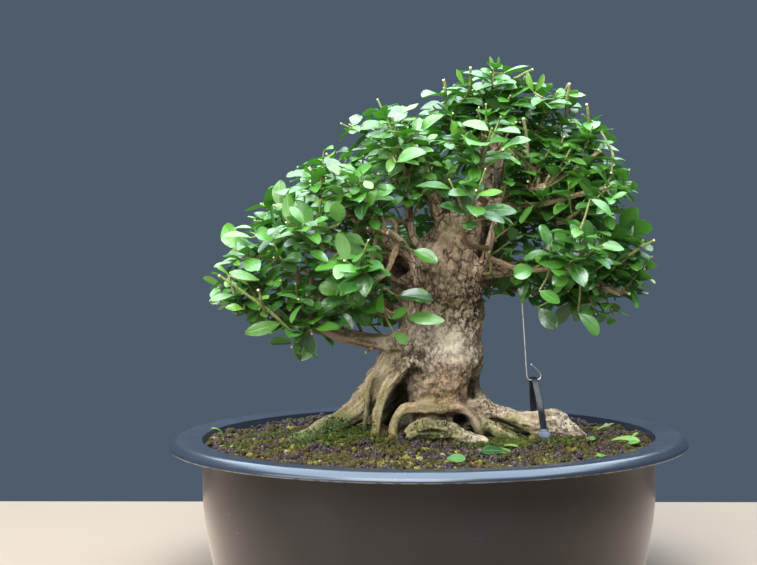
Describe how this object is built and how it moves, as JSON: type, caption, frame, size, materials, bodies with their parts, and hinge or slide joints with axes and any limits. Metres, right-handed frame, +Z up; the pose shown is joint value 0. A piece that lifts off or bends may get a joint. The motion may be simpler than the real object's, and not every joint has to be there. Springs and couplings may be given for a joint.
{
  "type": "privet bonsai",
  "caption": "Privet bonsai with a thick tapering trunk, spread roots and a wide leafy crown, in a round soil-filled planting bowl, with a guy wire held by a cable tie.",
  "frame": {"origin": "middle of the bowl's underside", "axes": "+Z up, -Y towards the tree's front, +X to the right as seen from the front"},
  "size_m": [0.38, 0.38, 0.3753],
  "materials": {
    "bowl": "satin dark blue-grey polypropylene",
    "soil": "moist volcanic grains with moss and algae",
    "bark": "tan-grey cracked bark, mossy on the roots",
    "leaf": "glossy mid to dark green",
    "young_leaf": "glossy yellow-green",
    "fallen_leaf": "dull pale green",
    "black_plastic": "satin black nylon",
    "steel_wire": "bare steel wire"
  },
  "bodies": {
    "root": {"bowl": "bowl", "cable_tie": "black_plastic", "fallen_leaf_1": "fallen_leaf", "fallen_leaf_2": "fallen_leaf", "fallen_leaf_3": "fallen_leaf", "fallen_leaf_4": "fallen_leaf", "guy_wire": "steel_wire", "soil": "soil", "spray_01": "young_leaf", "spray_02": "leaf", "spray_03": "leaf", "spray_04": "leaf", "spray_05": "leaf", "spray_06": "young_leaf", "spray_07": "leaf", "spray_08": "leaf", "spray_09": "leaf", "spray_10": "leaf", "spray_11": "young_leaf", "spray_12": "leaf", "spray_13": "leaf", "spray_14": "leaf", "spray_15": "leaf", "spray_16": "young_leaf", "spray_17": "leaf", "spray_18": "leaf", "spray_19": "leaf", "spray_20": "leaf", "spray_21": "young_leaf", "spray_22": "leaf", "spray_23": "leaf", "spray_24": "leaf", "spray_25": "leaf", "spray_26": "young_leaf", "spray_27": "leaf", "spray_28": "leaf", "spray_29": "leaf", "spray_30": "leaf", "spray_31": "young_leaf", "spray_32": "leaf", "spray_33": "leaf", "spray_34": "leaf", "spray_35": "leaf", "spray_36": "young_leaf", "spray_37": "leaf", "spray_38": "leaf", "trunk": "bark"}
  },
  "joints": []
}
